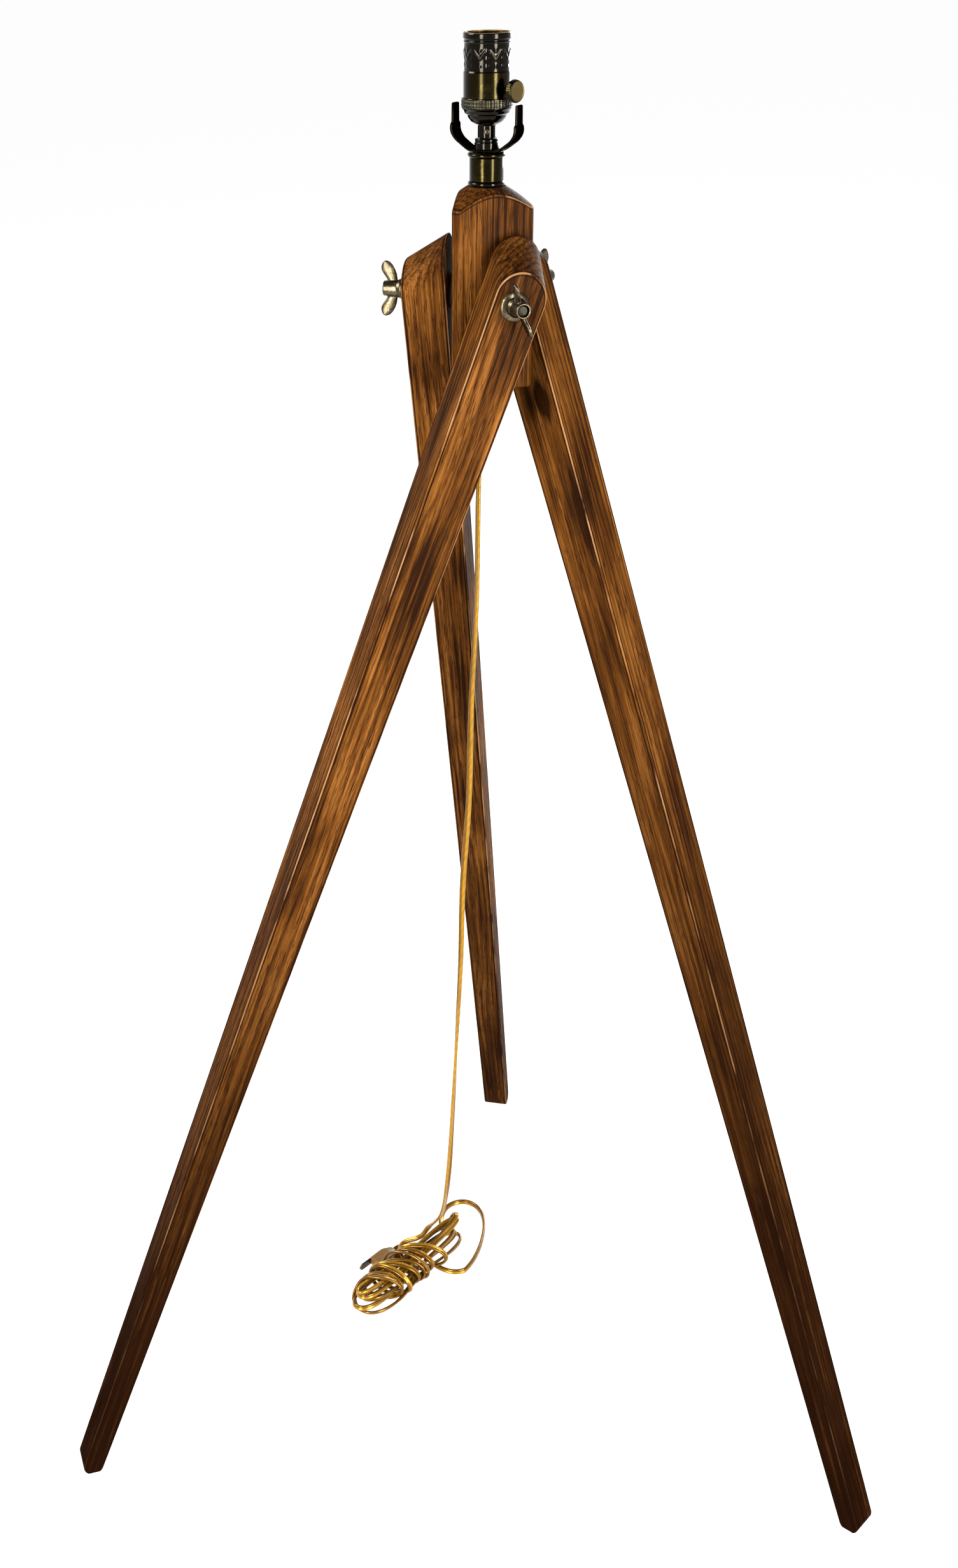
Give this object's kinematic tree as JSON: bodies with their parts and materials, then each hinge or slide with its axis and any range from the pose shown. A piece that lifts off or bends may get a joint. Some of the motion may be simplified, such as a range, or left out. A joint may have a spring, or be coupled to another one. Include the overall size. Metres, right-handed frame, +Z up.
{
  "type": "tripod floor lamp base",
  "caption": "Wooden tripod floor-lamp base with folding tapered legs, wing-nut pivots, brass turn-knob socket, harp saddle and gold lamp cord.",
  "frame": {"origin": "on the floor under the middle of the stand's bounding box, measured without the free cord and its plug", "axes": "+Z up along the hub's axis, which stands at X -0.0211, Y -0.0728; the left wing nut points to -X"},
  "size_m": [0.6704, 0.6175, 1.168],
  "materials": {
    "oak": "brown-stained open-pored oak, satin",
    "dark_brass": "dark antique brass, polished",
    "wing_brass": "light antique brass, worn",
    "steel": "plain threaded steel",
    "fibre": "black vulcanised fibre",
    "phenolic": "black phenolic",
    "screw_shell": "bright brass sheet",
    "gold_cord": "flat twin lead in clear gold vinyl",
    "plug": "moulded gold-brown vinyl"
  },
  "bodies": {
    "head": {"hub_block": "oak", "lamp_pipe": "steel", "lock_nut": "steel", "lock_washer": "steel", "stud_front": "steel", "stud_right": "steel", "stud_left": "steel", "spacer_front": "fibre", "spacer_right": "fibre", "spacer_left": "fibre", "cord_bushing": "phenolic", "inner_wire": "gold_cord", "neck_ring": "dark_brass", "neck_tube": "dark_brass", "neck_flange": "dark_brass", "saddle_collar": "dark_brass", "harp_saddle": "dark_brass", "socket_cap": "dark_brass", "socket_shell": "dark_brass", "insulating_sleeve": "fibre", "socket_body": "phenolic", "screw_shell": "screw_shell", "centre_contact": "screw_shell", "terminal_live": "wing_brass", "terminal_neutral": "wing_brass", "set_screw": "wing_brass", "cord": "gold_cord", "cord_loop": "gold_cord", "cord_hank": "gold_cord", "plug_body": "plug", "plug_prong_near": "wing_brass", "plug_prong_far": "wing_brass"},
    "front_leg": {"leg_front": "oak"},
    "right_leg": {"leg_right": "oak"},
    "left_leg": {"leg_left": "oak"},
    "front_washer": {"washer_front": "wing_brass"},
    "right_washer": {"washer_right": "wing_brass"},
    "left_washer": {"washer_left": "wing_brass"},
    "front_wing_nut": {"wing_nut_front": "wing_brass"},
    "right_wing_nut": {"wing_nut_right": "wing_brass"},
    "left_wing_nut": {"wing_nut_left": "wing_brass"},
    "switch_key": {"switch_spindle": "wing_brass", "switch_knob": "wing_brass"}
  },
  "joints": [
    {"name": "front_leg_spread", "type": "hinge", "parent": "head", "child": "front_leg", "pos_m": [-0.0211, -0.07276, 0.985], "axis": [-0.5, 0.866, 0], "range_deg": [-21, 19]},
    {"name": "front_washer_travel", "type": "slide", "parent": "head", "child": "front_washer", "axis": [0.5, -0.866, 0], "range_m": [0, 0.00317]},
    {"name": "front_wing_nut_turn", "type": "hinge", "parent": "front_washer", "child": "front_wing_nut", "pos_m": [-0.0211, -0.07276, 0.985], "axis": [0.5, -0.866, 0], "range_deg": [0, 830]},
    {"name": "right_leg_spread", "type": "hinge", "parent": "head", "child": "right_leg", "pos_m": [-0.0211, -0.07276, 0.985], "axis": [-0.5, -0.866, 0], "range_deg": [-21, 19]},
    {"name": "right_washer_travel", "type": "slide", "parent": "head", "child": "right_washer", "axis": [0.5, 0.866, 0], "range_m": [0, 0.00317]},
    {"name": "right_wing_nut_turn", "type": "hinge", "parent": "right_washer", "child": "right_wing_nut", "pos_m": [-0.0211, -0.07276, 0.985], "axis": [0.5, 0.866, 0], "range_deg": [0, 830]},
    {"name": "left_leg_spread", "type": "hinge", "parent": "head", "child": "left_leg", "pos_m": [-0.0211, -0.07276, 0.985], "axis": [1, 0, 0], "range_deg": [-9, 19]},
    {"name": "left_washer_travel", "type": "slide", "parent": "head", "child": "left_washer", "axis": [-1, 0, 0], "range_m": [0, 0.00317]},
    {"name": "left_wing_nut_turn", "type": "hinge", "parent": "left_washer", "child": "left_wing_nut", "pos_m": [-0.0211, -0.07276, 0.985], "axis": [-1, 0, 0], "range_deg": [0, 830]},
    {"name": "switch_turn", "type": "hinge", "parent": "head", "child": "switch_key", "pos_m": [-0.0211, -0.07276, 1.129], "axis": [0.8387, -0.5446, 0], "continuous": true}
  ],
  "couplings": [
    {"joint": "front_wing_nut_turn", "follows": "front_washer_travel", "rad_per_m": 4452.7},
    {"joint": "right_wing_nut_turn", "follows": "right_washer_travel", "rad_per_m": 4452.7},
    {"joint": "left_wing_nut_turn", "follows": "left_washer_travel", "rad_per_m": 4452.7}
  ]
}
